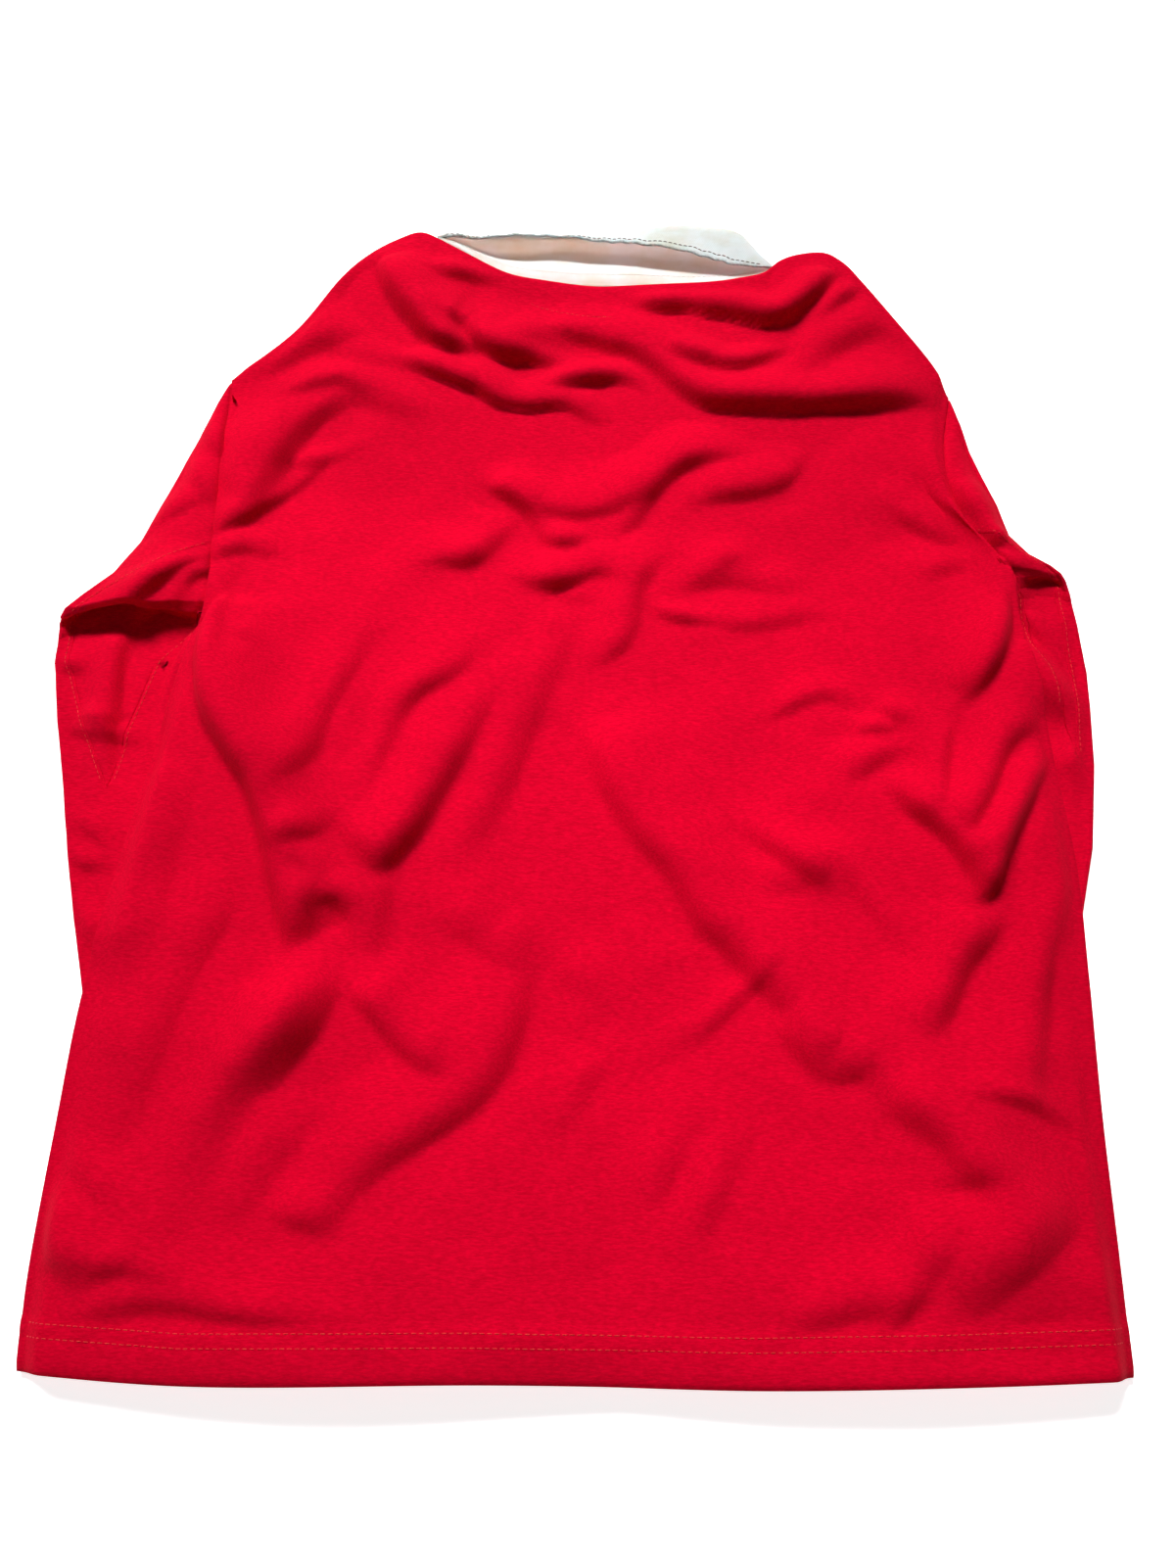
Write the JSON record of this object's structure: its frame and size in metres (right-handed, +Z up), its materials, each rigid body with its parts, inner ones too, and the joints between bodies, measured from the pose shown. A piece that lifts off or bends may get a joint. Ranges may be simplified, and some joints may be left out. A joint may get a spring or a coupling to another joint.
{
  "type": "rugby shirt",
  "caption": "Long-sleeved red jersey rugby shirt with a white twill collar, laid face down and flat with its sleeves folded in under the body",
  "frame": {"origin": "on the surface under the middle of the laid shirt's outline", "axes": "+Z up, out of the shirt's back; +Y from the hem to the collar; +X to the right seen from the hem"},
  "size_m": [0.6474, 0.76, 0.0384],
  "materials": {
    "jersey": "matt heavy cotton jersey with a faint slub",
    "rib": "matt ribbed cotton",
    "twill": "matt white cotton twill",
    "button": "soft white rubber"
  },
  "bodies": {
    "root": {"back": "jersey", "front": "jersey", "sleeve_left": "jersey", "sleeve_right": "jersey", "gusset_left": "jersey", "gusset_right": "jersey", "cuff_left": "rib", "cuff_right": "rib", "collar_back": "twill", "collar_front_left": "twill", "collar_front_right": "twill", "placket": "twill", "button_1": "button", "button_2": "button", "button_3": "button"}
  },
  "joints": []
}
